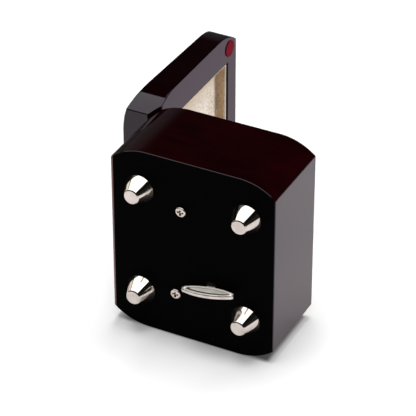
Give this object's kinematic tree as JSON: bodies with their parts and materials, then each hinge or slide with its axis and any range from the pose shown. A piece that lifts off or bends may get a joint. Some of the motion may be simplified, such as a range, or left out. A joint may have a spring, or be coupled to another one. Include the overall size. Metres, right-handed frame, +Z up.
{
  "type": "cylinder music box",
  "caption": "Lacquered wooden box with bowed ends, cone feet and a hinged lined lid, over a key-wound pinned-cylinder music movement.",
  "frame": {"origin": "on the standing plane, under the middle of the opened box's bounding box", "axes": "+Z up from the feet, +X to the right along the hinge, +Y to the back, towards the open lid"},
  "size_m": [0.0932, 0.095, 0.1255],
  "materials": {
    "lacquer": "dark burgundy gloss lacquer",
    "panel": "black satin lacquer",
    "nickel": "polished nickel plate",
    "velvet": "beige velvet on board",
    "felt": "dark red pressed felt",
    "bare_wood": "bare softwood",
    "brass": "bright brass",
    "casting": "satin cast metal",
    "steel": "ground steel",
    "nylon": "moulded nylon"
  },
  "bodies": {
    "case": {"front_wall": "lacquer", "back_wall": "lacquer", "left_end_wall": "lacquer", "right_end_wall": "lacquer", "bottom_panel": "panel", "foot_front_left": "nickel", "foot_front_right": "nickel", "foot_back_left": "nickel", "foot_back_right": "nickel", "mount_screws": "nickel", "tray": "velvet", "tray_cleats": "bare_wood", "hinge_body_leaf_left": "brass", "hinge_body_leaf_right": "brass", "hinge_pins": "brass", "hinge_body_screws": "brass", "bedplate": "casting", "barrel_bridge": "casting", "click_screw": "steel", "bridge_screws": "steel", "bearing_plate": "steel", "bearing_plate_screws": "steel", "comb": "steel", "comb_screws": "steel", "governor_bracket": "steel", "governor_screws": "steel"},
    "lid": {"lid_shell": "lacquer", "lid_liner": "velvet", "lid_bumper_left": "felt", "lid_bumper_right": "felt", "hinge_lid_leaf_left": "brass", "hinge_lid_leaf_right": "brass", "hinge_lid_screws": "brass"},
    "winding": {"winding_arbor": "steel", "winding_key": "nickel", "ratchet_wheel": "steel"},
    "barrel": {"spring_barrel": "brass", "barrel_cover": "brass", "mainspring": "steel"},
    "cylinder": {"cylinder_tube": "brass", "cylinder_pins": "steel", "cylinder_shaft": "steel", "cylinder_gear": "brass", "cylinder_pinion": "brass"},
    "governor": {"governor_arbor": "steel", "worm_wheel": "nylon"},
    "fly_shaft": {"worm": "steel", "fly": "nylon"},
    "click": {"click": "steel"},
    "stop": {"stop_plunger": "steel", "stop_felt": "felt"}
  },
  "joints": [
    {"name": "lid_hinge", "type": "hinge", "parent": "case", "child": "lid", "pos_m": [0, 0.0295, 0.0485], "axis": [1, 0, 0], "range_deg": [0, 89.5]},
    {"name": "key_turn", "type": "hinge", "parent": "case", "child": "winding", "pos_m": [0.0149, -0.017, 0.015], "axis": [0, 0, 1], "continuous": true},
    {"name": "barrel_turn", "type": "hinge", "parent": "case", "child": "barrel", "pos_m": [0.0149, -0.017, 0.02], "axis": [0, 0, 1], "continuous": true},
    {"name": "cylinder_turn", "type": "hinge", "parent": "case", "child": "cylinder", "pos_m": [-0.007, -0.017, 0.0301], "axis": [1, 0, 0], "continuous": true},
    {"name": "governor_turn", "type": "hinge", "parent": "case", "child": "governor", "pos_m": [-0.022, -0.022, 0.02144], "axis": [1, 0, 0], "continuous": true},
    {"name": "fly_turn", "type": "hinge", "parent": "case", "child": "fly_shaft", "pos_m": [-0.0236, -0.0288, 0.025], "axis": [0, 0, 1], "continuous": true},
    {"name": "click_lift", "type": "hinge", "parent": "case", "child": "click", "pos_m": [0.01757, -0.00892, 0.028], "axis": [0, 0, 1], "range_deg": [0, 15], "stiffness_Nm_per_rad": 0.0002, "springref_deg": -17.19},
    {"name": "stop_slide", "type": "slide", "parent": "case", "child": "stop", "axis": [0, 0, 1], "range_m": [-0.003, 0]}
  ],
  "couplings": [
    {"joint": "cylinder_turn", "follows": "barrel_turn", "ratio": -2},
    {"joint": "governor_turn", "follows": "barrel_turn", "ratio": 6},
    {"joint": "fly_turn", "follows": "barrel_turn", "ratio": 60},
    {"joint": "stop_slide", "follows": "lid_hinge", "m_per_rad": -0.00192}
  ]
}
